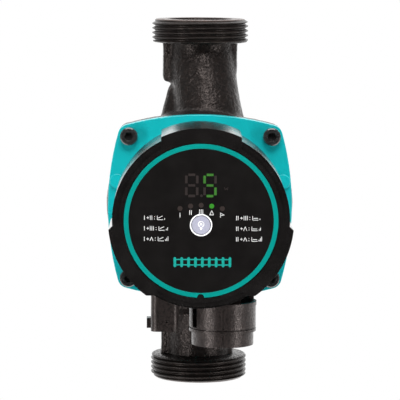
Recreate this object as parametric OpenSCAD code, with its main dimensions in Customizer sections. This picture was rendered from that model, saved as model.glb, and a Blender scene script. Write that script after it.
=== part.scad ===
// Electronic wet-rotor circulator pump, 180 mm between union faces, threads G 1 1/2.
// Z runs up the pipe line, the control head faces -Y, the origin is the centre of the lower union face.

/* [Port line] */
// distance between the two union faces
port_to_port = 180; // [176:1:200]
// bore at each union face
port_bore = 32; // [28:0.5:33]
// outside diameter of the union thread
thread_major = 47.8; // [47:0.1:48.5]
// root diameter of the union thread
thread_minor = 44.85; // [43.5:0.05:45.5]
// thread pitch
thread_pitch = 2.309; // [2:0.001:2.5]
// length of each threaded collar
collar_length = 11; // [10:0.5:12]

/* [Pump casting] */
// height of the rotor axis above the lower union face
rotor_height = 90; // [88:1:92]
// radius of the volute drum
drum_radius = 45.8; // [44:0.1:47]
// back of the casting behind the pipe line
casting_back = 25; // [24:0.5:28]
// radius of the impeller chamber
chamber_radius = 37.8; // [36.5:0.1:38.5]
// mating plane of the motor flange in front of the pipe line
mating_plane = 34; // [34:0.5:34.5]

/* [Motor flange] */
// half width of the square flange at the middle of a side
flange_half = 44.8; // [43:0.1:46]
// radius of the slightly bulged flange sides
flange_side_radius = 134; // [120:1:150]
// spacing of the four flange screws
screw_pitch = 69.2; // [68:0.1:70]
// thickness of the painted motor flange
flange_thickness = 6; // [5:0.5:6]

/* [Hydraulics] */
// impeller outside radius
impeller_radius = 25; // [22:0.5:28]
// number of impeller blades
blade_count = 6; // [5:1:8]
// rotor shaft diameter
shaft_diameter = 8; // [8:0.1:8]
// running clearance of the shaft in its bearings, per side
bearing_clearance = 0.04; // [0.02:0.01:0.08]

/* [Control head] */
// radius of the head wall
head_radius = 41.4; // [40.5:0.1:42]
// radius of the tab and the two wings
lobe_radius = 43.2; // [42.5:0.1:44]
// front face of the head in front of the pipe line
head_front = 100; // [99.5:0.1:101]
// outside diameter of the coloured ring
ring_outer = 71.8; // [71:0.1:72.2]
// inside diameter of the coloured ring
ring_inner = 67.4; // [66.5:0.1:68]
// travel of the mode button
button_travel = 0.6; // [0.3:0.1:0.6]

/* [Hidden] */
$fn = 96;
eps = 0.01;
screw_at = screw_pitch / 2;
side_centre = flange_side_radius - flange_half;
corner_reach = sqrt(pow(screw_at, 2) + pow(screw_at + side_centre, 2));
corner_radius = flange_side_radius - corner_reach;
flange_front = mating_plane + flange_thickness;
cast_flange_back = mating_plane - 10;
shaft_radius = shaft_diameter / 2;
chamber_back = 14.5;
eye_radius = 11.5;
passage_radius = 12.5;
neck_radius = 15.6;
inlet_offset = 8;
shoulder = 55.3;
drum_step_radius = 36.4;
motor_end = 76;
base_back = 55.6;
parting = 67;
cover_floor = head_front - 3.6;
label_seat = head_front - 1.6;
head_inner = head_radius - 2.6;
seat_radius = ring_outer / 2 + 0.4;
board_level = 82;
display_level = 92.4;
button_height = -1.9;
key_radius = 35.8;
stack_start = 46;
stack_end = 70;
inlet_x = 11;
inlet_y = -59;
tooth_count = 6;

// Puts local +Z on the rotor axis, pointing to the front, and local XY on the flange plane.
module on_axis() {
    translate([0, 0, rotor_height])
        rotate([90, 0, 0])
            children();
}

// A disc about the rotor axis between two distances in front of the pipe line.
module disc(radius, back, front) {
    translate([0, 0, back])
        cylinder(r = radius, h = front - back);
}

// A ring about the rotor axis.
module ring(outer, inner, back, front) {
    difference() {
        disc(outer, back, front);
        disc(inner, back - 1, front + 1);
    }
}

// A flat shape extruded between two distances in front of the pipe line.
module plate(back, front) {
    translate([0, 0, back])
        linear_extrude(height = front - back)
            children();
}

// A round bar between two points.
module bar(from, to, radius) {
    run = to - from;
    length = norm(run);
    translate(from)
        rotate([0, acos(run[2] / length), atan2(run[1], run[0])])
            cylinder(r = radius, h = length);
}

module flat_ring(outer, inner) {
    difference() {
        circle(r = outer);
        circle(r = inner);
    }
}

module at_screws() {
    for (x = [-screw_at, screw_at])
        for (y = [-screw_at, screw_at])
            translate([x, y])
                children();
}

function turned(point, angle) =
    [point[0] * cos(angle) - point[1] * sin(angle), point[0] * sin(angle) + point[1] * cos(angle)];

function arc_point(centre, radius, angle) =
    [centre[0] + radius * cos(angle), centre[1] + radius * sin(angle)];

// Square flange with bulged sides that run tangent into the screw corners.
module flange_outline() {
    meet = atan2(screw_at, screw_at + side_centre);
    side_steps = 14;
    corner_steps = 10;
    side = [for (i = [0 : side_steps])
        arc_point([-side_centre, 0], flange_side_radius, meet * (2 * i / side_steps - 1))];
    corner = [for (i = [1 : corner_steps - 1])
        arc_point([screw_at, screw_at], corner_radius, meet + (90 - 2 * meet) * i / corner_steps)];
    polygon([for (q = [0 : 3]) for (point = concat(side, corner)) turned(point, q * 90)]);
}

// Threaded collar built up from the union face: crest rings at the thread pitch on the root core.
module collar() {
    major = thread_major / 2;
    minor = thread_minor / 2;
    first = 0.55;
    crest = 0.36;
    flank = (thread_pitch - crest) / 2 - 0.12;
    turns = floor((collar_length - first) / thread_pitch + 0.5);
    teeth = [for (i = [0 : turns - 1]) let (low = first + i * thread_pitch)
        each [[minor, low], [major, low + flank], [major, low + flank + crest],
            [minor, low + 2 * flank + crest]]];
    rotate_extrude()
        polygon(concat([[0, 0], [minor - 0.5, 0]], teeth, [[minor, collar_length], [0, collar_length]]));
}

module pump_housing() {
    $fn = 40;
    top = port_to_port;
    color([0.14, 0.13, 0.13])
    difference() {
        union() {
            collar();
            translate([0, 0, top])
                mirror([0, 0, 1])
                    collar();
            on_axis()
                volute_body();
            // outlet neck leans from the volute to the pipe line
            bar([1, 0, 154], [1, 0, top - collar_length + 1], neck_radius);
            bar([6, -14, 118], [1, 0, 160], 16.2);
            translate([10, -6, 122])
                cylinder(r1 = 14, r2 = 7.5, h = 30);
            translate([-12.5, -3, 124])
                cylinder(r1 = 9, r2 = 3.2, h = 23);
            // spanner lugs beside the upper neck
            translate([-18.5, -5, 148.6])
                cube([8, 11, top - collar_length - 148]);
            translate([10.3, -5, 154])
                cube([8.2, 11, top - collar_length - 153.4]);
            // inlet neck leans back behind the impeller
            bar([0, 0, collar_length - 1], [0, 0, 34], neck_radius);
            bar([0, 0, 24], [0, inlet_offset, rotor_height + 4], neck_radius - 0.5);
            translate([0, inlet_offset, rotor_height + 4])
                sphere(r = neck_radius + 0.1);
            // spanner lugs beside the lower neck
            translate([-18.9, -5, collar_length - 0.6])
                cube([8, 11, 34]);
            translate([9.2, -5, collar_length - 0.6])
                cube([8, 11, 34]);
        }
        port_hollow();
        translate([0, 0, top])
            mirror([0, 0, 1])
                port_hollow();
        // suction passage to the impeller eye
        bar([0, 0, 10], [0, inlet_offset, rotor_height + 1], passage_radius);
        translate([0, inlet_offset, rotor_height])
            sphere(r = passage_radius + 0.5);
        on_axis() {
            disc(eye_radius, -inlet_offset, chamber_back + 1);
            disc(15, chamber_back - 2, chamber_back + 1);
            disc(chamber_radius, chamber_back, mating_plane + 1);
            disc(40.6, mating_plane - 2, mating_plane + 1);
            at_screws()
                disc(2.55, cast_flange_back - 4, mating_plane + 1);
        }
        // pressure passage from the volute
        bar([4.5, -19, 114], [0.5, -1, 160], passage_radius - 1);
        translate([0.5, -1, 159])
            sphere(r = passage_radius - 0.2);
        bar([0, 0, 157], [0, 0, top - 10], passage_radius);
    }
}

// Drum with a domed back and the square cast flange.
module volute_body() {
    edge = 11;
    rotate_extrude()
        polygon(concat(
            [[0, -casting_back], [24, -casting_back]],
            [for (a = [0 : 10 : 90]) [33 + edge * sin(a) - 4, -casting_back + edge * (1 - cos(a))]],
            [[drum_radius - 1.5, 0], [drum_radius, 4], [drum_radius, cast_flange_back + 2], [0, cast_flange_back + 2]]));
    plate(cast_flange_back, mating_plane)
        flange_outline();
    at_screws()
        disc(5.2, cast_flange_back - 6, cast_flange_back + 1);
}

// Union bore with its tapered run into the cast passage.
module port_hollow() {
    straight = 8;
    translate([0, 0, -1])
        cylinder(r = port_bore / 2, h = straight + 1);
    translate([0, 0, straight])
        cylinder(r1 = port_bore / 2, r2 = passage_radius, h = 4 + eps);
}

module wear_ring() {
    color([0.75, 0.76, 0.78])
        on_axis()
            ring(14.9, 13, chamber_back - 1.9, chamber_back + 2);
}

module impeller() {
    blade_arc = 17;
    blade_offset = 16;
    blade_half = 0.6;
    color([0.62, 0.55, 0.42])
        on_axis() {
            difference() {
                union() {
                    disc(impeller_radius, 28, 29.8);
                    disc(7, 19.4, 31.2);
                    for (i = [0 : blade_count - 1])
                        rotate(i * 360 / blade_count)
                            plate(20, 28 + eps)
                                intersection() {
                                    translate([blade_offset, 0])
                                        flat_ring(blade_arc + blade_half, blade_arc - blade_half);
                                    flat_ring(impeller_radius - 0.2, 6.6);
                                    translate([-30, 0])
                                        square([60, 30]);
                                }
                }
                disc(shaft_radius, 18, 33);
            }
        }
}

module impeller_shroud() {
    neck = 12.6;
    color([0.62, 0.55, 0.42])
        on_axis() {
            ring(impeller_radius, eye_radius, 18.2, 19.95);
            ring(neck, eye_radius, chamber_back + 0.6, 18.2);
        }
}

module shaft() {
    color([0.86, 0.86, 0.84])
        on_axis()
            disc(shaft_radius, 19.6, 78);
}

module rotor_magnet() {
    color([0.25, 0.25, 0.27])
        on_axis()
            ring(14, shaft_radius, 45, 69);
}

module rotor_sleeve() {
    color([0.78, 0.79, 0.8])
        on_axis() {
            ring(14.35, 14, 44.6, 69.4);
            ring(14, shaft_radius, 44.6, 45);
            ring(14, shaft_radius, 69, 69.4);
        }
}

module thrust_ring() {
    color([0.2, 0.2, 0.2])
        on_axis()
            ring(7.4, shaft_radius, 41.4, 44.5);
}

module bearing_plate() {
    color([0.76, 0.77, 0.78])
        on_axis()
            difference() {
                union() {
                    disc(40.4, mating_plane - 0.8, mating_plane);
                    disc(10, mating_plane - eps, 41);
                    ring(14.6, 13.6, mating_plane - eps, 38);
                }
                disc(8, 34.6, 42);
                disc(shaft_radius + 1.2, 30, 42);
                for (i = [0 : 3])
                    rotate(i * 90 + 45)
                        translate([11.8, 0])
                            disc(1, 30, 40);
            }
}

module pump_bearing() {
    color([0.3, 0.3, 0.32])
        on_axis()
            ring(7.98, shaft_radius + bearing_clearance, 34.7, 40.9);
}

module head_bearing() {
    color([0.3, 0.3, 0.32])
        on_axis()
            ring(7.98, shaft_radius + bearing_clearance, 71, 77);
}

module bearing_holder() {
    color([0.76, 0.77, 0.78])
        on_axis() {
            ring(14.9, 8, 71, 77.5);
            ring(14.9, shaft_radius + 1.2, 77.02, 78);
        }
}

module rotor_can() {
    color([0.8, 0.81, 0.82])
        on_axis() {
            difference() {
                union() {
                    disc(37.6, mating_plane, mating_plane + 0.8);
                    disc(15.5, mating_plane, 79.6);
                }
                disc(15, mating_plane - 1, 79);
            }
        }
}

module body_gasket() {
    color([0.1, 0.1, 0.1])
        on_axis()
            ring(40.4, 38.2, mating_plane - 1.95, mating_plane - 0.85);
}

module can_o_ring() {
    color([0.12, 0.12, 0.12])
        on_axis()
            translate([0, 0, mating_plane + 1.75])
                rotate_extrude()
                    translate([20, 0])
                        circle(r = 0.9, $fn = 24);
}

module stator_core() {
    color([0.5, 0.5, 0.52])
        on_axis()
            plate(stack_start, stack_end) {
                flat_ring(33, 28);
                intersection() {
                    flat_ring(28.4, 16.4);
                    tooth_bars(7);
                }
                difference() {
                    flat_ring(18.4, 16.4);
                    rotate(180 / tooth_count)
                        tooth_bars(2.4);
                }
            }
}

module tooth_bars(width) {
    for (i = [0 : tooth_count - 1])
        rotate(i * 360 / tooth_count)
            translate([0, -width / 2])
                square([30, width]);
}

// Rectangular tube standing round each stator tooth.
module tooth_frames(inner, outer, clear, reach, from, to) {
    middle = (stack_start + stack_end) / 2;
    for (i = [0 : tooth_count - 1])
        rotate(i * 360 / tooth_count)
            difference() {
                translate([from, -outer, middle - reach])
                    cube([to - from, 2 * outer, 2 * reach]);
                translate([from - 1, -inner, middle - clear])
                    cube([to - from + 2, 2 * inner, 2 * clear]);
            }
}

module coil_bobbins() {
    color([0.9, 0.88, 0.8])
        on_axis() {
            tooth_frames(3.55, 4.4, 12.05, 12.9, 19.4, 27);
            tooth_frames(4.4, 7.6, 12.9, 16.2, 26.4, 27);
            tooth_frames(4.4, 7.6, 12.9, 16.2, 19.4, 20);
        }
}

module stator_coils() {
    color([0.72, 0.38, 0.16])
        on_axis()
            tooth_frames(4.42, 7.3, 12.92, 15.9, 20.02, 26.38);
}

module stator_housing() {
    cavity = 33.2;
    boss_x = 40.4;
    boss_y = 12.5;
    color([0, 0.66, 0.68])
        on_axis()
            difference() {
                union() {
                    plate(mating_plane, flange_front)
                        flange_outline();
                    disc(39.5, flange_front - 1, shoulder);
                    disc(drum_step_radius, shoulder - 1, motor_end);
                    for (side = [-1, 1])
                        translate([side * boss_x, boss_y])
                            disc(3.4, flange_front - 1, flange_front + 2);
                }
                disc(37.8, mating_plane - 1, mating_plane + 0.85);
                disc(15.7, mating_plane - 1, motor_end);
                ring(21, 19, mating_plane - 1, mating_plane + 2.7);
                disc(cavity, flange_front + 1, motor_end + 1);
                at_screws()
                    disc(2.75, mating_plane - 1, flange_front + 1);
            }
}

module flange_screws() {
    head = 4.3;
    head_height = 5;
    socket = 2.31;
    color([0.1, 0.1, 0.1])
        on_axis()
            at_screws()
                difference() {
                    union() {
                        disc(2.5, cast_flange_back - 3, flange_front + 1);
                        disc(head, flange_front, flange_front + head_height - 0.5);
                        translate([0, 0, flange_front + head_height - 0.5])
                            cylinder(r1 = head, r2 = head - 0.5, h = 0.5);
                    }
                    translate([0, 0, flange_front + head_height - 2.8])
                        cylinder(r = socket, h = 4, $fn = 6);
                }
}

module motor_end_cap() {
    color([0.16, 0.16, 0.17])
        on_axis()
            difference() {
                union() {
                    disc(drum_step_radius, motor_end, motor_end + 2.4);
                    at_posts()
                        disc(3.2, motor_end + 2, board_level);
                }
                disc(15.8, motor_end - 1, motor_end + 4);
                at_posts()
                    disc(1.3, motor_end - 1, board_level + 1);
                at_phases()
                    disc(1.5, motor_end - 1, motor_end + 4);
            }
}

module at_posts() {
    for (turn = [90 : 120 : 330])
        rotate(turn)
            translate([31, 0])
                children();
}

module at_phases() {
    for (i = [-1 : 1])
        rotate(150 + i * 14)
            translate([25, 0])
                children();
}

// Round head wall with the top tab and the two side wings.
module head_outline(reach, core) {
    circle(r = core);
    intersection() {
        circle(r = reach);
        lobe_field();
    }
}

module lobe_field() {
    tab_half = 18.7;
    wing_bottom = -35;
    slant = 38.7;
    translate([-tab_half, 0])
        square([2 * tab_half, 60]);
    for (side = [0, 1])
        mirror([side, 0])
            polygon([[20, wing_bottom], [60, wing_bottom], [60, slant - 60], [36, slant - 36],
                [20, slant - 36]]);
}

module control_base() {
    color([0.13, 0.12, 0.12])
        on_axis()
            difference() {
                plate(base_back, parting)
                    head_outline(lobe_radius, head_radius);
                disc(drum_step_radius + 0.3, base_back - 1, parting + 1);
                disc(head_inner, base_back + 2.6, parting + 1);
                ring(40.9, 39.7, parting - 1, parting + 1);
            }
}

module cover_seal() {
    color([0.2, 0.2, 0.2])
        on_axis()
            ring(40.85, 39.75, parting - 0.98, parting - 0.02);
}

module control_cover() {
    ledge = 38.2;
    rim = 40.3;
    color([0.13, 0.12, 0.12])
        on_axis() {
            difference() {
                plate(parting, head_front)
                    head_outline(lobe_radius, head_radius);
                disc(head_inner, parting - 1, cover_floor);
                disc(seat_radius, label_seat, head_front + 1);
                // stepped rim between the tab and the wings
                plate(head_front - 0.9, head_front + 1)
                    difference() {
                        circle(r = head_radius + 1);
                        circle(r = ledge);
                        lobe_field();
                    }
                plate(head_front - 2.2, head_front + 1)
                    difference() {
                        circle(r = head_radius + 1);
                        circle(r = rim);
                        lobe_field();
                    }
                display_window(0.3);
                at_leds()
                    disc(1.6, cover_floor - 1, label_seat + 1);
                translate([0, button_height])
                    disc(4.6, cover_floor - 1, label_seat + 1);
            }
            translate([0, -key_radius])
                disc(1.35, label_seat - eps, head_front);
        }
}

module display_window(gap) {
    translate([-9 - gap, 10.4 - gap, display_level])
        cube([17.4 + 2 * gap, 12.8 + 2 * gap, label_seat - display_level + 1]);
}

module at_leds() {
    spread = 4.9;
    for (i = [-2 : 2])
        translate([i * spread, 7.4 - 0.42 * i * i])
            children();
}

module power_board() {
    color([0.1, 0.35, 0.18])
        on_axis()
            difference() {
                disc(37.6, board_level, board_level + 1.6);
                at_posts()
                    disc(1.6, board_level - 1, board_level + 2);
                at_phases()
                    disc(0.9, board_level - 1, board_level + 2);
            }
}

module board_screws() {
    color([0.7, 0.7, 0.72])
        on_axis()
            at_posts() {
                disc(1.25, motor_end + 3, board_level + 2);
                disc(2.8, board_level + 1.65, board_level + 3.4);
            }
}

module bulk_capacitors() {
    can_radius = 3.9;
    color([0.12, 0.13, 0.2])
        on_axis()
            for (y = [-20, -11.6])
                translate([-9, y, board_level + 1.65 + can_radius])
                    rotate([0, 90, 0])
                        cylinder(r = can_radius, h = 20, $fn = 48);
}

module filter_choke() {
    color([0.7, 0.4, 0.15])
        on_axis()
            translate([-19, -4])
                ring(7.5, 3.2, board_level + 1.65, board_level + 8);
}

module power_module() {
    color([0.1, 0.1, 0.11])
        on_axis() {
            translate([4, 12, board_level + 1.65])
                cube([22, 13, 3.4]);
            translate([20, -6, board_level + 1.65])
                cube([9, 9, 5]);
        }
}

module phase_pins() {
    color([0.85, 0.7, 0.35])
        on_axis()
            at_phases()
                disc(0.7, 74.6, board_level + 3.2);
}

module board_link() {
    color([0.9, 0.9, 0.88])
        on_axis()
            translate([-14, 19.5, board_level + 1.65])
                cube([16, 4.6, display_level - board_level - 1.7]);
}

module display_board() {
    color([0.1, 0.35, 0.18])
        on_axis()
            disc(37, display_level, display_level + 1.2);
}

module digit_display() {
    color([0.2, 0.2, 0.2])
        on_axis()
            translate([-9, 10.4, display_level + 1.25])
                cube([17.4, 12.8, 4.3]);
}

module digit_segments() {
    color([0.35, 0.8, 0.3])
        on_axis()
            translate([0, 0, display_level + 5.56]) {
                for (x = [-7.2, 1.4])
                    translate([x, 11.4])
                        seven_bars();
                translate([0.3, 11.6])
                    cylinder(r = 0.5, h = 0.3, $fn = 24);
            }
}

module seven_bars() {
    wide = 5.8;
    tall = 10.8;
    bar_width = 1;
    for (y = [0, tall / 2 - bar_width / 2, tall - bar_width])
        translate([bar_width + 0.2, y])
            cube([wide - 2 * bar_width - 0.4, bar_width, 0.3]);
    for (x = [0, wide - bar_width])
        for (y = [bar_width, tall / 2 + bar_width])
            translate([x, y])
                cube([bar_width, tall / 2 - 2 * bar_width, 0.3]);
}

module mode_leds() {
    color([0.4, 0.85, 0.3])
        on_axis()
            at_leds()
                disc(1.2, display_level + 1.25, label_seat - 0.1);
}

module tact_switch() {
    color([0.15, 0.15, 0.15])
        on_axis()
            translate([0, button_height])
                difference() {
                    translate([-3.1, -3.1, display_level + 1.25])
                        cube([6.2, 6.2, 1.1]);
                    disc(2, display_level + 1.45, display_level + 4);
                }
}

module button_halo() {
    color([0.95, 0.95, 0.96])
        on_axis()
            translate([0, button_height])
                ring(5.16, 4.6, label_seat, head_front + 0.1);
}

module mode_button() {
    cap = 4.25;
    color([0.8, 0.8, 0.86])
        on_axis()
            translate([0, button_height]) {
                disc(cap, cover_floor - 0.3, head_front + 0.25);
                disc(5.6, cover_floor - 0.8, cover_floor - 0.3);
                disc(1.6, display_level + 2.2, cover_floor - 0.8);
            }
}

module face_label() {
    color([0.05, 0.05, 0.05])
        on_axis()
            difference() {
                disc(ring_inner / 2 - 0.02, label_seat, head_front - 0.1);
                translate([0, button_height])
                    disc(5.2, label_seat - 1, head_front + 1);
            }
}

module label_ring() {
    color([0, 0.6, 0.56])
        on_axis()
            difference() {
                ring(ring_outer / 2, ring_inner / 2, label_seat, head_front);
                translate([0, -key_radius])
                    disc(1.6, label_seat - 1, head_front + 1);
            }
}

// Plug shroud under the head: round skirt with a bead, open below for the mains plug.
module inlet_shroud() {
    skirt = 16;
    lower = 14.9;
    mouth = 12.8;
    rim_level = 47;
    floor_level = 41;
    bead_level = 32.6;
    color([0.17, 0.16, 0.16])
        difference() {
            union() {
                translate([inlet_x, inlet_y, 26])
                    cylinder(r = lower, h = 7.2);
                translate([inlet_x, inlet_y, bead_level])
                    cylinder(r = skirt + 0.1, h = 1.4);
                translate([inlet_x, inlet_y, bead_level + 1])
                    cylinder(r = skirt - 0.6, h = 1.4);
                translate([inlet_x, inlet_y, bead_level + 2])
                    cylinder(r = skirt, h = rim_level - bead_level - 3);
                translate([inlet_x, inlet_y, rim_level - 1.8])
                    cylinder(r = skirt + 0.3, h = 1.8);
                translate([inlet_x + 6, inlet_y + 6, 43])
                    cube([9.2, 6, 7.6]);
            }
            translate([inlet_x, inlet_y, 25])
                cylinder(r = mouth, h = floor_level - 2.5 - 25);
            translate([inlet_x, inlet_y, floor_level])
                cylinder(r = skirt - 1.7, h = 8);
            // front groove and side slot
            for (run = [[lower, 25.3, bead_level - 0.7], [skirt, bead_level + 2.4, bead_level + 12]])
                translate([inlet_x, inlet_y - run[0] - 0.7, run[1]])
                    rotate([0, 0, 45])
                        translate([-0.9, -0.9])
                            cube([1.8, 1.8, run[2] - run[1]]);
            translate([inlet_x - 14.3, inlet_y - 12, bead_level + 2.4])
                cube([1.8, 8, 9.8]);
            at_inlet_pins()
                cylinder(r = 1.15, h = 30);
            on_axis()
                disc(head_radius + 0.2, 30, 110);
            on_axis()
                disc(39.8, 30, 56);
        }
}

module at_inlet_pins() {
    for (x = [-5, 0, 5])
        translate([inlet_x + x, inlet_y + (x == 0 ? 3.5 : -1), 30])
            children();
}

// Neck that joins the plug shroud to the underside of the head.
module inlet_block() {
    floor_level = 41;
    color([0.15, 0.14, 0.14])
        difference() {
            translate([inlet_x - 8.5, inlet_y - 7, floor_level + 0.02])
                cube([17, 12, 14]);
            on_axis()
                disc(head_radius + 0.05, 30, 110);
            at_inlet_pins()
                cylinder(r = 1.15, h = 30);
        }
}

module inlet_pins() {
    color([0.85, 0.8, 0.7])
        at_inlet_pins()
            translate([0, 0, 1.5])
                cylinder(r = 1.1, h = 14, $fn = 32);
}

// Covered terminal pocket to the left of the plug shroud.
module terminal_cover() {
    left = -23.4;
    right = -10.2;
    bottom = 34;
    back = -58;
    front = -75;
    round_r = 3.2;
    height = 20.9;
    color([0.15, 0.14, 0.14])
        difference() {
            union() {
                translate([left + round_r, front, bottom])
                    cube([right - left - 2 * round_r, back - front, height]);
                translate([left, front + round_r, bottom])
                    cube([right - left, back - front - round_r, height]);
                for (x = [left + round_r, right - round_r])
                    translate([x, front + round_r, bottom])
                        cylinder(r = round_r, h = height, $fn = 48);
                translate([left - 2, -68, bottom + 0.8])
                    cube([3, 6, 4.7]);
            }
            on_axis()
                disc(head_radius + 0.05, 30, 110);
            translate([left + 1.6, front + 2, bottom + 1.6])
                cube([right - left - 3.2, back - front - 4, 30]);
            translate([-16, front, bottom + 5])
                sphere(r = 0.9, $fn = 24);
        }
}

pump_housing();
wear_ring();
impeller();
impeller_shroud();
shaft();
rotor_magnet();
rotor_sleeve();
thrust_ring();
bearing_plate();
pump_bearing();
head_bearing();
bearing_holder();
rotor_can();
body_gasket();
can_o_ring();
stator_core();
stator_coils();
coil_bobbins();
stator_housing();
flange_screws();
motor_end_cap();
control_base();
control_cover();
cover_seal();
power_board();
board_screws();
bulk_capacitors();
filter_choke();
power_module();
phase_pins();
board_link();
display_board();
digit_display();
digit_segments();
mode_leds();
tact_switch();
button_halo();
mode_button();
face_label();
label_ring();
inlet_shroud();
inlet_block();
inlet_pins();
terminal_cover();
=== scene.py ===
import math

import bmesh
import bpy
import numpy as np
from mathutils import Matrix, Vector, noise


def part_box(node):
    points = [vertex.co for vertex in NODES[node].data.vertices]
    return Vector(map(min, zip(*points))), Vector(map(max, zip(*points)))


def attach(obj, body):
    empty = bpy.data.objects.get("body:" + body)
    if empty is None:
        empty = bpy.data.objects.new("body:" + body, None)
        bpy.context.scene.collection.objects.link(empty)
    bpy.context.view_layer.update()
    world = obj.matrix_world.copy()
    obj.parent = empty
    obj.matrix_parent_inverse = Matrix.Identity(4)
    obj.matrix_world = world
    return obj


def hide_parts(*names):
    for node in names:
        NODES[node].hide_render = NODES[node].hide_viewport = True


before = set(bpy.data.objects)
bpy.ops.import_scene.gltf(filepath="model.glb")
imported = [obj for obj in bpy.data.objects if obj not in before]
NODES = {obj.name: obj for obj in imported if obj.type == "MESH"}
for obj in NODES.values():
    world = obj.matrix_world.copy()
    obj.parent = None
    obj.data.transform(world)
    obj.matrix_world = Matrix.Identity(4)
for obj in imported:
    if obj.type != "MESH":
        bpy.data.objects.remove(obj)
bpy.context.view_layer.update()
MM = 0.001

shaft_low, shaft_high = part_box("shaft")
ROTOR = (shaft_low.z + shaft_high.z) / 2
LABEL = -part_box("face_label")[0].y
PORT_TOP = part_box("pump_housing")[1].z
BUTTON_LOW, BUTTON_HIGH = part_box("mode_button")
BUTTON_V = (BUTTON_LOW.z + BUTTON_HIGH.z) / 2 - ROTOR


# ---------------------------------------------------------------- camera

def make_camera():
    data = bpy.data.cameras.new("camera")
    data.sensor_width = 36
    data.lens = 231.7
    data.clip_start = 0.05
    data.clip_end = 50
    camera = bpy.data.objects.new("camera", data)
    bpy.context.scene.collection.objects.link(camera)
    place = Vector((-0.0116, -1.2856, 0.2267))
    target = Vector((0, -0.040, 0.0934))
    turn = (target - place).to_track_quat("-Z", "Y").to_matrix().to_4x4()
    roll = Matrix.Rotation(math.radians(0.31), 4, "Z")
    camera.matrix_world = Matrix.Translation(place) @ turn @ roll
    bpy.context.scene.camera = camera


make_camera()


# ---------------------------------------------------------------- materials

class Nodes:
    """Short calls for building a node tree on one Principled shader."""

    def __init__(self, name):
        self.material = bpy.data.materials.new(name)
        self.material.use_nodes = True
        self.tree = self.material.node_tree
        self.shader = self.tree.nodes["Principled BSDF"]
        self.place = self.tree.nodes.new("ShaderNodeTexCoord").outputs["Object"]

    def add(self, kind, **values):
        node = self.tree.nodes.new(kind)
        for key, value in values.items():
            setattr(node, key, value)
        return node

    def link(self, source, target):
        self.tree.links.new(source, target)

    def noise(self, size_mm, detail=4, rough=0.55, stretch=None):
        """A noise whose blobs are about size_mm across."""
        node = self.add("ShaderNodeTexNoise")
        node.inputs["Scale"].default_value = 1 / (size_mm * MM)
        node.inputs["Detail"].default_value = detail
        node.inputs["Roughness"].default_value = rough
        place = self.place
        if stretch:
            mapping = self.add("ShaderNodeMapping")
            mapping.inputs["Scale"].default_value = stretch
            self.link(place, mapping.inputs["Vector"])
            place = mapping.outputs["Vector"]
        self.link(place, node.inputs["Vector"])
        return node.outputs["Fac"]

    def cells(self, size_mm):
        """Distance to the nearest of scattered points about size_mm apart."""
        node = self.add("ShaderNodeTexVoronoi")
        node.inputs["Scale"].default_value = 1 / (size_mm * MM)
        self.link(self.place, node.inputs["Vector"])
        return node.outputs["Distance"]

    def ramp(self, source, stops):
        """A colour ramp through (position, colour) stops."""
        node = self.add("ShaderNodeValToRGB")
        elements = node.color_ramp.elements
        while len(elements) < len(stops):
            elements.new(0.5)
        for element, (position, colour) in zip(elements, stops):
            element.position = position
            element.color = (*colour, 1)
        self.link(source, node.inputs["Fac"])
        return node.outputs["Color"]

    def span(self, source, low, high, start=0.3, end=0.7):
        """Maps source from start..end to low..high."""
        node = self.add("ShaderNodeMapRange")
        node.inputs["From Min"].default_value = start
        node.inputs["From Max"].default_value = end
        node.inputs["To Min"].default_value = low
        node.inputs["To Max"].default_value = high
        self.link(source, node.inputs["Value"])
        return node.outputs["Result"]

    def bump(self, height, depth_mm, under=None):
        node = self.add("ShaderNodeBump")
        node.inputs["Strength"].default_value = 1
        node.inputs["Distance"].default_value = depth_mm * MM
        self.link(height, node.inputs["Height"])
        if under is not None:
            self.link(under, node.inputs["Normal"])
        return node.outputs["Normal"]

    def set(self, **values):
        for key, value in values.items():
            self.shader.inputs[key.replace("_", " ")].default_value = value

    def colour(self, source):
        self.link(source, self.shader.inputs["Base Color"])

    def roughness(self, source):
        self.link(source, self.shader.inputs["Roughness"])

    def normal(self, source):
        self.link(source, self.shader.inputs["Normal"])


def shade(colour, factor):
    return tuple(min(1, channel * factor) for channel in colour)


def cast_paint():
    """Black dip paint over sand-cast iron: crinkled, glossy and a little lighter on the ridges."""
    n = Nodes("cast_iron_paint")
    n.set(Specular_IOR_Level=0.21, Specular_Tint=(1, 0.85, 0.8, 1))
    crinkle = n.noise(1.35, 2, 0.5)
    n.colour(n.ramp(crinkle, [(0.4, (0.0028, 0.0024, 0.0023)), (0.66, (0.015, 0.0115, 0.0105))]))
    n.roughness(n.span(crinkle, 0.44, 0.26, 0.42, 0.62))
    dents = n.bump(n.noise(4, 2), 0.3)
    n.normal(n.bump(crinkle, 0.38, dents))
    return n.material


def machined_iron():
    """Painted thread, with random darker and warmer patches."""
    n = Nodes("thread_paint")
    n.set(Specular_IOR_Level=0.18, Specular_Tint=(1, 0.86, 0.8, 1))
    wear = n.noise(3.5, 5, 0.65)
    n.colour(n.ramp(wear, [(0.35, (0.006, 0.0052, 0.005)), (0.75, (0.02, 0.0155, 0.0138))]))
    n.roughness(n.span(wear, 0.42, 0.28))
    n.normal(n.bump(n.noise(0.7, 3, 0.5, (0.3, 0.3, 3)), 0.05))
    return n.material


def washer_face():
    """Bare turned iron under thin paint, warm brown, with a fine grain."""
    n = Nodes("turned_face")
    n.set(Metallic=0.4, Specular_IOR_Level=0.2)
    wear = n.noise(2.5, 5, 0.6)
    n.colour(n.ramp(wear, [(0.3, (0.022, 0.013, 0.0105)), (0.7, (0.085, 0.048, 0.037))]))
    n.roughness(n.span(wear, 0.42, 0.28))
    n.normal(n.bump(n.noise(0.5, 2), 0.03))
    return n.material


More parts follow.
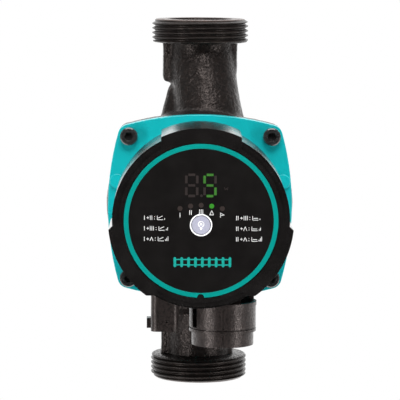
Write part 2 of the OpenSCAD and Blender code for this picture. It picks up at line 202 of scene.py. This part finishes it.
def powder_paint(name, colour, rough=0.36, depth=0.045, level=0.4):
    """Smooth powder paint with orange peel and faint clouding."""
    n = Nodes(name)
    n.set(Specular_IOR_Level=level)
    clouds = n.noise(14, 3)
    n.colour(n.ramp(clouds, [(0.3, shade(colour, 0.94)), (0.7, shade(colour, 1.06))]))
    peel = n.noise(0.9, 3)
    n.roughness(n.span(peel, rough - 0.03, rough + 0.04))
    n.normal(n.bump(peel, depth))
    return n.material


def moulded(name, colour, rough=0.42, depth=0.03, grain_mm=0.45, level=0.4):
    """Moulded plastic with spark-eroded grain and rubbed patches."""
    n = Nodes(name)
    n.set(Specular_IOR_Level=level)
    rub = n.noise(11, 4, 0.6)
    n.colour(n.ramp(rub, [(0.3, shade(colour, 0.8)), (0.7, shade(colour, 1.25))]))
    grain = n.noise(grain_mm, 3, 0.6)
    n.roughness(n.span(rub, rough - 0.04, rough + 0.06))
    n.normal(n.bump(grain, depth))
    return n.material


def speckled_plastic():
    """Coarser glass-filled plastic of the plug shroud and terminal pocket."""
    n = Nodes("speckled_plastic")
    n.set(Specular_IOR_Level=0.36, Specular_Tint=(1, 0.87, 0.83, 1))
    speckle = n.noise(1.1, 3, 0.6)
    n.colour(n.ramp(speckle, [(0.38, (0.006, 0.005, 0.0047)), (0.68, (0.042, 0.033, 0.031))]))
    n.roughness(n.span(speckle, 0.42, 0.24, 0.4, 0.64))
    n.normal(n.bump(speckle, 0.16, n.bump(n.noise(5, 2), 0.25)))
    return n.material


def metal(name, colour, rough=0.3, stretch=(1, 12, 1), metallic=1.0):
    """Drawn or turned metal with fine lines along one way."""
    n = Nodes(name)
    n.set(Metallic=metallic)
    lines = n.noise(0.9, 4, 0.6, stretch)
    n.colour(n.ramp(lines, [(0.3, shade(colour, 0.85)), (0.7, shade(colour, 1.1))]))
    n.roughness(n.span(lines, rough - 0.06, rough + 0.08))
    n.normal(n.bump(lines, 0.02))
    return n.material


def black_oxide():
    """Oxidised screw steel: dark, oily, brighter where the finish is thin."""
    n = Nodes("black_oxide")
    n.set(Metallic=0.5, Coat_Weight=0.9, Coat_Roughness=0.1)
    thin = n.noise(1.2, 5, 0.7)
    n.colour(n.ramp(thin, [(0.35, (0.018, 0.018, 0.019)), (0.75, (0.075, 0.072, 0.072))]))
    n.roughness(n.span(thin, 0.16, 0.28))
    n.normal(n.bump(n.noise(0.35, 2), 0.02))
    return n.material


def ink(name, colour, lamp_and_painted_emission=0.0, rough=0.5):
    """Screen-printed ink, or a lit patch of it, with slight mottling; the emission is real light on lit
    patches and painted light on plain print and the key cap.
    """
    n = Nodes(name)
    n.set(Specular_IOR_Level=0.3)
    mottle = n.noise(0.6, 3)
    tint = n.ramp(mottle, [(0.3, shade(colour, 0.9)), (0.7, shade(colour, 1.08))])
    n.colour(tint)
    n.roughness(n.span(mottle, rough - 0.04, rough + 0.05))
    if lamp_and_painted_emission:
        n.link(tint, n.shader.inputs["Emission Color"])
        n.set(Emission_Strength=lamp_and_painted_emission)
    return n.material


def circuit_green():
    """Solder mask over copper tracks."""
    n = Nodes("solder_mask")
    n.set(Specular_IOR_Level=0.5)
    tracks = n.cells(2.2)
    n.colour(n.ramp(tracks, [(0.2, (0.01, 0.09, 0.03)), (0.5, (0.02, 0.17, 0.06))]))
    n.roughness(n.span(tracks, 0.3, 0.42))
    n.normal(n.bump(tracks, 0.04))
    return n.material


CAST = cast_paint()
THREAD = machined_iron()
TURNED = washer_face()
CYAN = powder_paint("turquoise_powder_paint", (0.0, 0.35, 0.37))
RING = powder_paint("teal_trim", (0.0, 0.21, 0.185), 0.4, 0.02, 0.12)
HEAD = moulded("head_plastic", (0.006, 0.0052, 0.005), 0.2, 0.01, 0.5, 0.75)
POCKET = speckled_plastic()
LABEL_FILM = moulded("label_film", (0.004, 0.0034, 0.0032), 0.46, 0.004, 0.6, 0.1)
SCREW = black_oxide()
STEEL = metal("drawn_stainless", (0.58, 0.59, 0.6))
COPPER = metal("enamelled_copper", (0.62, 0.25, 0.09), 0.34, (1, 1, 14))
CONTACT = metal("tinned_contact", (0.72, 0.6, 0.34), 0.26)
LAMINATION = metal("lamination_stack", (0.3, 0.3, 0.31), 0.42, (1, 30, 1))
GRAPHITE = moulded("graphite", (0.03, 0.03, 0.033), 0.34, 0.02)
CERAMIC = moulded("ground_ceramic", (0.72, 0.72, 0.68), 0.2, 0.004)
MAGNET = moulded("sintered_magnet", (0.05, 0.05, 0.055), 0.5, 0.04)
IMPELLER = moulded("impeller_plastic", (0.34, 0.28, 0.17), 0.45, 0.03)
RUBBER = moulded("sealing_rubber", (0.012, 0.012, 0.012), 0.6, 0.03)
NYLON = moulded("natural_nylon", (0.68, 0.64, 0.54), 0.4, 0.02)
BOARD = circuit_green()
CHIP = moulded("component_body", (0.02, 0.02, 0.023), 0.45, 0.02)
WHITE_RING = ink("lit_white_ring", (0.92, 0.92, 0.94), 0.16, 0.3)
# The key cap has a little emission though it is no lamp: painted light.
KEY_CAP_PAINTED_GLOW = ink("lilac_key_cap_painted_glow", (0.35, 0.35, 0.43), 0.03, 0.34)
# The white print has a little emission though it is no lamp: painted light.
WHITE_INK_PAINTED_GLOW = ink("white_ink_painted_glow", (0.66, 0.66, 0.66), 0.05)
# The teal print has a little emission though it is no lamp: painted light.
TEAL_INK_PAINTED_GLOW = ink("teal_ink_painted_glow", (0.0, 0.25, 0.21), 0.06)
DIM_SEGMENT = ink("unlit_segment", (0.017, 0.0115, 0.0105))
LIT_SEGMENT = ink("lit_segment", (0.026, 0.12, 0.013), 0.1)
LIT_LED = ink("lit_led", (0.018, 0.17, 0.008), 0.2)
DIM_LED = ink("unlit_led", (0.021, 0.0135, 0.0115))


# ---------------------------------------------------------------- helpers

def add_object(name, mesh, material, body="pump", smooth=True):
    obj = bpy.data.objects.new(name, mesh)
    bpy.context.scene.collection.objects.link(obj)
    mesh.materials.append(material)
    if smooth:
        mesh.shade_smooth()
    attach(obj, body)
    return obj


def head_point(u, v, depth):
    """A point u right and v above the rotor axis, depth in front of the pipe line, all in mm."""
    return Vector((u * MM, -depth * MM, ROTOR + v * MM))


def soften(obj, width, angle=32, segments=2):
    """Welds a CAD mesh and rounds its sharp edges by width in mm."""
    weld = obj.modifiers.new("weld", "WELD")
    weld.merge_threshold = 1e-6
    bevel = obj.modifiers.new("round", "BEVEL")
    bevel.width = width * MM
    bevel.segments = segments
    bevel.limit_method = "ANGLE"
    bevel.angle_limit = math.radians(angle)
    bevel.miter_outer = "MITER_ARC"
    bevel.harden_normals = True
    obj.modifiers.new("normals", "WEIGHTED_NORMAL").keep_sharp = True


def dress(name, material, width=0):
    """Gives a CAD node its material, and rounded edges where they can be seen."""
    obj = NODES[name]
    obj.data.materials.clear()
    obj.data.materials.append(material)
    if "custom_normal" in obj.data.attributes:
        obj.data.attributes.remove(obj.data.attributes["custom_normal"])
    obj.data.shade_smooth()
    if width:
        soften(obj, width)
    else:
        weld = obj.modifiers.new("weld", "WELD")
        weld.merge_threshold = 1e-6
        split = obj.modifiers.new("edges", "EDGE_SPLIT")
        split.split_angle = math.radians(32)


def flat_marks(name, shapes, material, lift, base=None, thickness=0.04):
    """Thin raised marks on the label; each shape is a closed outline of (u, v) in mm."""
    mesh = bpy.data.meshes.new(name)
    bm = bmesh.new()
    depth = (LABEL if base is None else base) / MM + lift
    for outline in shapes:
        front = [bm.verts.new(head_point(u, v, depth + thickness)) for u, v in outline]
        back = [bm.verts.new(head_point(u, v, depth)) for u, v in outline]
        bm.faces.new(front)
        count = len(outline)
        for i in range(count):
            j = (i + 1) % count
            bm.faces.new((front[i], back[i], back[j], front[j]))
    bmesh.ops.recalc_face_normals(bm, faces=bm.faces)
    bm.to_mesh(mesh)
    bm.free()
    return add_object(name, mesh, material, smooth=False)


def bar(u, v, width, height):
    """A rectangle centred on (u, v)."""
    w, h = width / 2, height / 2
    return [(u - w, v - h), (u + w, v - h), (u + w, v + h), (u - w, v + h)]


def stroke(points, width):
    """Quads along a polyline, one per stretch, slightly overlapping at the joints."""
    quads = []
    for (u0, v0), (u1, v1) in zip(points, points[1:]):
        run = math.hypot(u1 - u0, v1 - v0)
        du, dv = (u1 - u0) / run, (v1 - v0) / run
        nu, nv = -dv * width / 2, du * width / 2
        eu, ev = du * width * 0.25, dv * width * 0.25
        quads.append([
            (u0 - eu + nu, v0 - ev + nv),
            (u0 - eu - nu, v0 - ev - nv),
            (u1 + eu - nu, v1 + ev - nv),
            (u1 + eu + nu, v1 + ev + nv),
        ])
    return quads


def dot(u, v, radius, sides=24):
    turns = [2 * math.pi * i / sides for i in range(sides)]
    return [(u + radius * math.cos(a), v + radius * math.sin(a)) for a in turns]


# ---------------------------------------------------------------- casting

THREAD_MAJOR = 23.9
THREAD_MINOR = 22.45
PITCH = 2.309
COLLAR = 11.2


def neighbours_mean(points, edges, degree):
    total = np.zeros_like(points)
    np.add.at(total, edges[:, 0], points[edges[:, 1]])
    np.add.at(total, edges[:, 1], points[edges[:, 0]])
    return total / degree[:, None]


def cast_shell():
    """The pump casting, remeshed with cast fillets and sand texture, without its threaded collars."""
    voxel = 0.75
    collar_end = 11.5
    flange_front = 33.2
    cut = 10.6
    rounds = 16
    source = NODES["pump_housing"]
    work = bpy.data.objects.new("casting_work", source.data.copy())
    bpy.context.scene.collection.objects.link(work)
    weld = work.modifiers.new("weld", "WELD")
    weld.merge_threshold = 1e-6
    remesh = work.modifiers.new("voxels", "REMESH")
    remesh.mode = "VOXEL"
    remesh.voxel_size = voxel * MM
    graph = bpy.context.evaluated_depsgraph_get()
    mesh = bpy.data.meshes.new_from_object(work.evaluated_get(graph))
    bpy.data.objects.remove(work)

    count = len(mesh.vertices)
    points = np.zeros(count * 3)
    mesh.vertices.foreach_get("co", points)
    points = points.reshape(-1, 3)
    edges = np.zeros(len(mesh.edges) * 2, np.int64)
    mesh.edges.foreach_get("vertices", edges)
    edges = edges.reshape(-1, 2)
    degree = np.maximum(np.bincount(edges.ravel(), minlength=count), 1).astype(float)
    height = points[:, 2] / MM
    depth = -points[:, 1] / MM
    near_end = np.minimum(height, PORT_TOP / MM - height)
    weight = np.clip((near_end - collar_end) / 1.5, 0, 1) * np.clip((flange_front - depth) / 1.2, 0, 1)
    for _ in range(rounds):
        points += weight[:, None] * 0.6 * (neighbours_mean(points, edges, degree) - points)
    mesh.vertices.foreach_set("co", points.ravel())
    mesh.update()

    normals = np.zeros(count * 3)
    mesh.vertices.foreach_get("normal", normals)
    normals = normals.reshape(-1, 3)
    lift = np.zeros(count)
    for i in range(count):
        if weight[i] > 0:
            place = Vector(points[i]) / MM
            lift[i] = 0.16 * noise.noise(place / 5.0) + 0.07 * noise.noise(place / 1.7)
    points += normals * (lift * weight * MM)[:, None]
    mesh.vertices.foreach_set("co", points.ravel())

    bm = bmesh.new()
    bm.from_mesh(mesh)
    low = cut * MM
    high = PORT_TOP - cut * MM
    spare = [v for v in bm.verts if v.co.z < low or v.co.z > high]
    bmesh.ops.delete(bm, geom=spare, context="VERTS")
    bm.to_mesh(mesh)
    bm.free()
    mesh.materials.clear()
    shell = add_object("cast_shell", mesh, CAST)
    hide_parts("pump_housing")


def thread_radius(height, turn):
    """Radius of the helical thread at a height above the union face."""
    phase = (height / PITCH - turn) % 1
    tooth = min(1, max(0, 1.25 - 2.5 * abs(phase - 0.5) * 1.15))
    tooth = tooth * tooth * (3 - 2 * tooth) * 0.35 + tooth * 0.65
    ramp = min(1, max(0, (height - 0.5) / 0.9)) * min(1, max(0, (COLLAR - height) / 0.35))
    return THREAD_MINOR + (THREAD_MAJOR - THREAD_MINOR) * tooth * ramp


def threaded_collar(name, top):
    """A union collar with its washer face, chamfers and one helical thread."""
    around = 160
    steps = 108
    # each row is radius, height above the union face and material slot
    rows = [(12.6, 13.0, 0), (12.5, 12.0, 0), (16.0, 8.0, 0), (16.0, 0.5, 0)]
    rows += [(16.25, 0.12, 0), (16.45, 0.0, 1)]
    rows += [(r, 0.0, 1) for r in (18.0, 20.0, 21.6)]
    rows += [(21.95, 0.05, 1), (22.3, 0.4, 1)]
    first = len(rows)
    rows += [(None, 0.5 + (COLLAR - 0.5) * i / (steps - 1), 2) for i in range(steps)]
    shoulder = [(22.2, 0.25), (21.6, 0.5), (19.5, 0.62), (17.4, 0.7), (16.0, 1.0)]
    rows += [(r, COLLAR + rise, 0) for r, rise in shoulder]
    verts = []
    for radius, height, _ in rows:
        for i in range(around):
            turn = i / around
            r = thread_radius(height, turn) if radius is None else radius
            z = PORT_TOP / MM - height if top else height
            side = -1 if top else 1
            angle = 2 * math.pi * turn * side
            verts.append((r * math.cos(angle) * MM, r * math.sin(angle) * MM, z * MM))
    faces = []
    slots = []
    for k in range(len(rows) - 1):
        for i in range(around):
            j = (i + 1) % around
            quad = (k * around + i, k * around + j, (k + 1) * around + j, (k + 1) * around + i)
            faces.append(quad)
            slots.append(rows[k + 1][2] if k < first else rows[k][2])
    mesh = bpy.data.meshes.new(name)
    mesh.from_pydata(verts, [], faces)
    obj = add_object(name, mesh, CAST)
    mesh.materials.append(TURNED)
    mesh.materials.append(THREAD)
    mesh.polygons.foreach_set("material_index", slots)
    bm = bmesh.new()
    bm.from_mesh(mesh)
    bmesh.ops.recalc_face_normals(bm, faces=bm.faces)
    bm.to_mesh(mesh)
    bm.free()
    split = obj.modifiers.new("edges", "EDGE_SPLIT")
    split.split_angle = math.radians(50)


cast_shell()
threaded_collar("lower_collar", False)
threaded_collar("upper_collar", True)


# ---------------------------------------------------------------- CAD nodes

for node_name, paint, width in [
    ("stator_housing", CYAN, 0.5),
    ("flange_screws", SCREW, 0.45),
    ("control_base", HEAD, 0.3),
    ("control_cover", HEAD, 0.32),
    ("label_ring", RING, 0.12),
    ("face_label", LABEL_FILM, 0.06),
    ("button_halo", WHITE_RING, 0.12),
    # The key cap material's emission is painted light, not a lamp.
    ("mode_button", KEY_CAP_PAINTED_GLOW, 0.3),
    ("inlet_shroud", POCKET, 0.3),
    ("inlet_block", POCKET, 0.4),
    ("terminal_cover", POCKET, 0.45),
    ("inlet_pins", CONTACT, 0.3),
    ("wear_ring", STEEL, 0.15),
    ("impeller", IMPELLER, 0.15),
    ("impeller_shroud", IMPELLER, 0.2),
    ("shaft", CERAMIC, 0.3),
    ("rotor_magnet", MAGNET, 0),
    ("rotor_sleeve", STEEL, 0.1),
    ("thrust_ring", GRAPHITE, 0.2),
    ("bearing_plate", STEEL, 0.15),
    ("pump_bearing", GRAPHITE, 0.2),
    ("head_bearing", GRAPHITE, 0.2),
    ("bearing_holder", STEEL, 0.15),
    ("rotor_can", STEEL, 0.15),
    ("body_gasket", RUBBER, 0),
    ("can_o_ring", RUBBER, 0),
    ("stator_core", LAMINATION, 0),
    ("stator_coils", COPPER, 0.5),
    ("coil_bobbins", NYLON, 0.15),
    ("motor_end_cap", HEAD, 0.2),
    ("cover_seal", RUBBER, 0),
    ("power_board", BOARD, 0),
    ("board_screws", CONTACT, 0.2),
    ("bulk_capacitors", CHIP, 0.3),
    ("filter_choke", COPPER, 0.5),
    ("power_module", CHIP, 0.2),
    ("phase_pins", CONTACT, 0.1),
    ("board_link", NYLON, 0.2),
    ("display_board", BOARD, 0),
    ("digit_display", CHIP, 0.2),
    ("digit_segments", LIT_SEGMENT, 0),
    ("mode_leds", LIT_LED, 0.1),
    ("tact_switch", CHIP, 0.15),
]:
    dress(node_name, paint, width)


# ---------------------------------------------------------------- face print

def seven_segments(u, v, lit):
    """Outlines of a seven-bar digit with its lower left corner at (u, v), split into lit and unlit bars."""
    wide, tall, thick = 6.2, 11.0, 1.15
    gap = 0.75
    middle = tall / 2
    places = {
        "a": bar(u + wide / 2, v + tall - thick / 2, wide - 2 * thick - gap, thick),
        "g": bar(u + wide / 2, v + middle, wide - 2 * thick - gap, thick * 0.9),
        "d": bar(u + wide / 2, v + thick / 2, wide - 2 * thick - gap, thick),
        "f": bar(u + thick / 2, v + middle + tall / 4, thick, middle - thick - gap),
        "b": bar(u + wide - thick / 2, v + middle + tall / 4, thick, middle - thick - gap),
        "e": bar(u + thick / 2, v + middle - tall / 4, thick, middle - thick - gap),
        "c": bar(u + wide - thick / 2, v + middle - tall / 4, thick, middle - thick - gap),
    }
    on = [outline for key, outline in places.items() if key in lit]
    off = [outline for key, outline in places.items() if key not in lit]
    return on, off


def numeral(count, u, v, height, width=0.3, pitch=0.78):
    """A roman numeral of plain upright strokes, starting at u."""
    return [bar(u + width / 2 + i * pitch, v, width, height) for i in range(count)]


def face_print():
    lit, dim = seven_segments(0.95, 11.1, "afgcd")
    blank, unlit = seven_segments(-7.5, 11.1, "")
    watts = stroke([(10.7, 15.7), (11.1, 14.5), (11.55, 15.4), (12.0, 14.5), (12.4, 15.7)], 0.28)
    flat_marks("lit_bars", lit, LIT_SEGMENT, 0.01)
    flat_marks("unlit_bars", dim + unlit + blank + [dot(0.1, 11.8, 0.62)], DIM_SEGMENT, 0.01)
    flat_marks("unit_mark", watts, DIM_SEGMENT, 0.01)
    leds = [(i * 4.9, 7.35 - 0.38 * i * i) for i in (-2, -1, 0, 1, 2)]
    flat_marks("lit_lamp", [dot(leds[3][0], leds[3][1], 1.15)], LIT_LED, 0.01)
    others = [dot(u, v, 1.15) for i, (u, v) in enumerate(leds) if i != 3]
    flat_marks("unlit_lamps", others, DIM_LED, 0.01)

    marks = []
    for i, (u, v) in enumerate(leds[:3]):
        count = i + 1
        start = u - ((count - 1) * 0.78 + 0.3) / 2
        marks += numeral(count, start, v - 3.05, 2.2)
    u, v = leds[3]
    marks += stroke([(u - 0.9, v - 4.1), (u, v - 2.0), (u + 0.9, v - 4.1), (u - 0.9, v - 4.1)], 0.26)
    u, v = leds[4]
    marks += stroke([(u - 0.8, v - 4.1), (u - 0.8, v - 1.95)], 0.26)
    marks += stroke([(u - 0.8, v - 2.1), (u + 0.9, v - 3.0), (u - 0.8, v - 3.3)], 0.26)

    rows = [1.45, -3.5, -8.45]
    for level, v in enumerate(rows):
        marks += mode_row(-26.4, v, (1, 2 if level == 0 else 3), True, level + 1, level == 2)
        marks += mode_row(16.3, v, (2, 3 if level == 0 else 2), False, level + 1, level > 0)
    # The white print's material has emission that is painted light, not a lamp.
    flat_marks("white_print_painted_glow", marks, WHITE_INK_PAINTED_GLOW, 0.01)


def mode_row(u, v, counts, ramp, level, arrow):
    """One row of the key: two speed marks joined by a plus, a colon, a curve symbol and its level."""
    tall = 2.0
    marks = numeral(counts[0], u, v, tall, 0.27, 0.75)
    u += counts[0] * 0.75 + 0.4
    marks += [bar(u + 0.55, v, 1.15, 0.25), bar(u + 0.55, v, 0.25, 1.15)]
    u += 1.55
    if arrow:
        marks += stroke([(u, v - 0.9), (u + 0.75, v + 0.9), (u + 1.5, v - 0.9)], 0.25)
        u += 2.3
    else:
        marks += numeral(counts[1], u, v, tall, 0.27, 0.75)
        u += counts[1] * 0.75 + 0.4
    marks += [dot(u + 0.2, v - 0.6, 0.18, 10), dot(u + 0.2, v + 0.45, 0.18, 10)]
    u += 1.5
    marks += stroke([(u, v + 0.95), (u, v - 0.9), (u + 2.6, v - 0.9)], 0.22)
    rise = 0.9 if ramp else 0.0
    marks += stroke([(u + 0.45, v - 0.1), (u + 2.4, v - 0.1 + rise)], 0.25)
    u += 3.2
    marks += [bar(u + i * 0.6 + 0.2, v - 0.9 + 0.35 * (i + 1), 0.26, 0.7 * (i + 1)) for i in range(level)]
    return marks


def capsule(u, v, width, height):
    """An upright bar with round ends centred on (u, v)."""
    radius = width / 2
    rise = height / 2 - radius
    top = [math.radians(a) for a in range(0, 181, 15)]
    outline = [(u + radius * math.cos(a), v + rise + radius * math.sin(a)) for a in top]
    return outline + [(u - radius * math.cos(a), v - rise - radius * math.sin(a)) for a in top]


def radiator_motif():
    """A plain column radiator symbol below the button."""
    columns = 9
    pitch = 3.2
    left = 0.7 - pitch * (columns - 1) / 2
    middle = -19.25
    shapes = [capsule(left + i * pitch, middle, 1.25, 4.7) for i in range(columns)]
    for i in range(columns - 1):
        for v in (middle + 1.25, middle - 1.25):
            shapes.append(bar(left + (i + 0.5) * pitch, v, pitch - 1.25, 0.55))
    # The teal print's material has emission that is painted light, not a lamp.
    flat_marks("radiator_motif", shapes, TEAL_INK_PAINTED_GLOW, 0.01)


def key_icon():
    """A small ring over a short stem on the key cap."""
    cap = -BUTTON_LOW.y
    centre = BUTTON_V / MM
    turns = [math.radians(a) for a in range(-60, 241, 20)]
    loop = [(1.25 * math.cos(a), centre + 0.45 + 1.25 * math.sin(a)) for a in turns]
    stem = [bar(0, centre - 1.35, 1.1, 0.5), bar(0, centre - 2.0, 0.8, 0.4)]
    shapes = stroke(loop, 0.5) + stem + [dot(0, centre + 0.45, 0.5)]
    icon = flat_marks("key_icon", shapes, WHITE_RING, 0.0, base=cap)
    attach(icon, "button")


face_print()
radiator_motif()
key_icon()


def rim_ribs():
    """Fine upright ribs round the step of the head's rim, between the tab and the wings."""
    mesh = bpy.data.meshes.new("rim_ribs")
    bm = bmesh.new()
    depth = LABEL / MM - 0.85
    for start, end in ((6, 60), (120, 174)):
        steps = int((end - start) / 0.9)
        for i in range(steps + 1):
            angle = math.radians(start + (end - start) * i / steps)
            out = Vector((math.cos(angle), math.sin(angle)))
            side = Vector((-out.y, out.x)) * 0.16
            corners = []
            for radius in (38.1, 38.75):
                corners += [out * radius - side, out * radius + side]
            lower = [bm.verts.new(head_point(c.x, c.y, depth)) for c in corners]
            upper = [bm.verts.new(head_point(c.x, c.y, depth + 0.5)) for c in corners]
            for a, b in ((0, 1), (1, 3), (3, 2), (2, 0)):
                bm.faces.new((lower[a], lower[b], upper[b], upper[a]))
            bm.faces.new((upper[0], upper[1], upper[3], upper[2]))
    bmesh.ops.recalc_face_normals(bm, faces=bm.faces)
    bm.to_mesh(mesh)
    bm.free()
    add_object("rim_ribs", mesh, HEAD, smooth=False)


rim_ribs()


def rim_line(name, radius, start, end, depth, width):
    """A fine raised bead of the rim, along an arc between two angles in degrees."""
    steps = int((end - start) / 1.5)
    mesh = bpy.data.meshes.new(name)
    bm = bmesh.new()
    rows = []
    for i in range(steps + 1):
        angle = math.radians(start + (end - start) * i / steps)
        out = Vector((math.cos(angle), math.sin(angle)))
        inner = radius - width
        foot = depth - 0.3
        profile = [(inner, foot), (inner, depth), (radius, depth), (radius, foot)]
        rows.append([bm.verts.new(head_point(out.x * r, out.y * r, d)) for r, d in profile])
    for low, high in zip(rows, rows[1:]):
        for k in range(3):
            bm.faces.new((low[k], low[k + 1], high[k + 1], high[k]))
    bmesh.ops.recalc_face_normals(bm, faces=bm.faces)
    bm.to_mesh(mesh)
    bm.free()
    add_object(name, mesh, HEAD, smooth=False)


FACE = LABEL / MM + 0.1
rim_line("step_edge_right", 38.3, 4, 62, FACE + 0.02, 0.12)
rim_line("step_edge_left", 38.3, 118, 176, FACE + 0.02, 0.12)
rim_line("outer_edge_right", 40.3, 4, 61, FACE - 0.86, 0.16)
rim_line("outer_edge_left", 40.3, 119, 176, FACE - 0.86, 0.16)
rim_line("seat_edge", 36.42, 182, 358, FACE + 0.02, 0.1)


# ---------------------------------------------------------------- studio

def white_stage():
    """A pale floor well below the pump."""
    mesh = bpy.data.meshes.new("floor")
    size = 3.0
    level = -0.8
    mesh.from_pydata(
        [(-size, -1.0, level), (size, -1.0, level), (size, 4, level), (-size, 4, level)], [], [(0, 1, 2, 3)])
    floor = bpy.data.objects.new("floor", mesh)
    bpy.context.scene.collection.objects.link(floor)
    n = Nodes("pale_floor")
    n.set(Base_Color=(0.92, 0.92, 0.92, 1), Roughness=0.8, Emission_Color=(1, 1, 1, 1), Emission_Strength=0.9)
    mesh.materials.append(n.material)


def softbox(name, place, target, size, power):
    data = bpy.data.lights.new(name, "AREA")
    data.shape = "RECTANGLE"
    data.size, data.size_y = size
    data.energy = power
    light = bpy.data.objects.new(name, data)
    bpy.context.scene.collection.objects.link(light)
    light.location = place
    light.rotation_euler = (Vector(target) - Vector(place)).to_track_quat("-Z", "Y").to_euler()


def studio_world():
    """White all round for the eye; for the object, bright behind and dim in front."""
    world = bpy.data.worlds.new("studio")
    bpy.context.scene.world = world
    world.use_nodes = True
    tree = world.node_tree
    tree.nodes.clear()
    out = tree.nodes.new("ShaderNodeOutputWorld")
    seen = tree.nodes.new("ShaderNodeBackground")
    lit = tree.nodes.new("ShaderNodeBackground")
    mix = tree.nodes.new("ShaderNodeMixShader")
    path = tree.nodes.new("ShaderNodeLightPath")
    place = tree.nodes.new("ShaderNodeTexCoord")
    parts = tree.nodes.new("ShaderNodeSeparateXYZ")
    ramp = tree.nodes.new("ShaderNodeMapRange")
    seen.inputs["Color"].default_value = (1, 1, 1, 1)
    ramp.interpolation_type = "SMOOTHSTEP"
    ramp.inputs["From Min"].default_value = -0.4
    ramp.inputs["From Max"].default_value = 1.0
    ramp.inputs["To Min"].default_value = 0.03
    ramp.inputs["To Max"].default_value = 2.2
    tree.links.new(place.outputs["Generated"], parts.inputs[0])
    tree.links.new(parts.outputs["Y"], ramp.inputs["Value"])
    tree.links.new(ramp.outputs["Result"], lit.inputs["Strength"])
    tree.links.new(path.outputs["Is Camera Ray"], mix.inputs[0])
    tree.links.new(lit.outputs[0], mix.inputs[1])
    tree.links.new(seen.outputs[0], mix.inputs[2])
    tree.links.new(mix.outputs[0], out.inputs[0])


white_stage()
softbox("front_softbox", (0.0, -1.5, 1.35), (0, 0, 0.09), (0.9, 0.5), 25)
softbox("top_softbox", (0.0, -0.25, 1.25), (0, -0.05, 0.09), (1.2, 1.0), 16)
softbox("left_strip", (-1.05, -0.95, -0.02), (0, 0, 0.09), (0.22, 1.0), 11)
softbox("right_strip", (1.15, -0.85, -0.02), (0, 0, 0.09), (0.22, 1.0), 9)
studio_world()
bpy.context.scene.view_settings.view_transform = "Standard"
